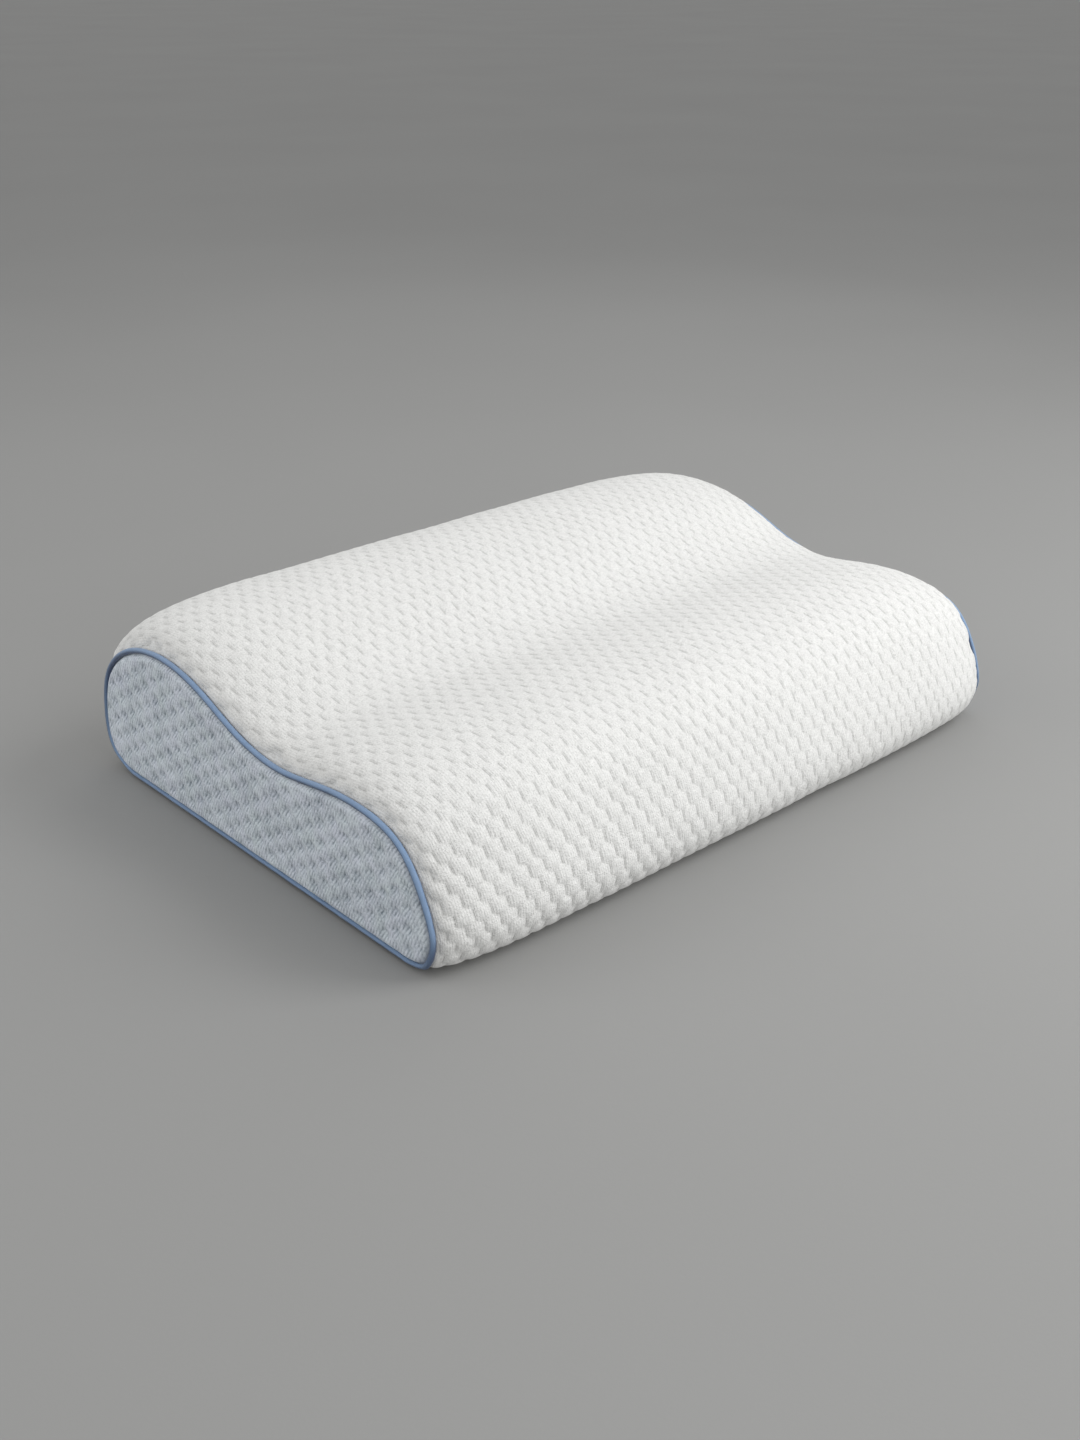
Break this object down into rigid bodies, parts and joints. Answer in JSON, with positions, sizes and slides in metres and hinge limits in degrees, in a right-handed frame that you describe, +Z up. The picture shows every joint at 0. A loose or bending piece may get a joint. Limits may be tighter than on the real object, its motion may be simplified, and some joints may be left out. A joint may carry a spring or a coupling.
{
  "type": "contour pillow",
  "caption": "Contour pillow with a high and a low roll and a shallow valley between, in a white puffed knit cover with pale blue end panels and blue piping.",
  "frame": {"origin": "on the floor, under the middle of the pillow's box", "axes": "+X along the pillow's length, from one end panel to the other; +Y from the low roll to the high roll; +Z up, out of the flat base"},
  "size_m": [0.5276, 0.397, 0.1341],
  "materials": {
    "white_knit": "puffed jacquard knit, matt white",
    "blue_knit": "puffed jacquard knit, matt pale blue",
    "blue_piping": "covered cord, soft satin blue"
  },
  "bodies": {
    "root": {"filled_body": "white_knit", "side_panel_left": "blue_knit", "side_panel_right": "blue_knit", "piping_left": "blue_piping", "piping_right": "blue_piping"}
  },
  "joints": []
}
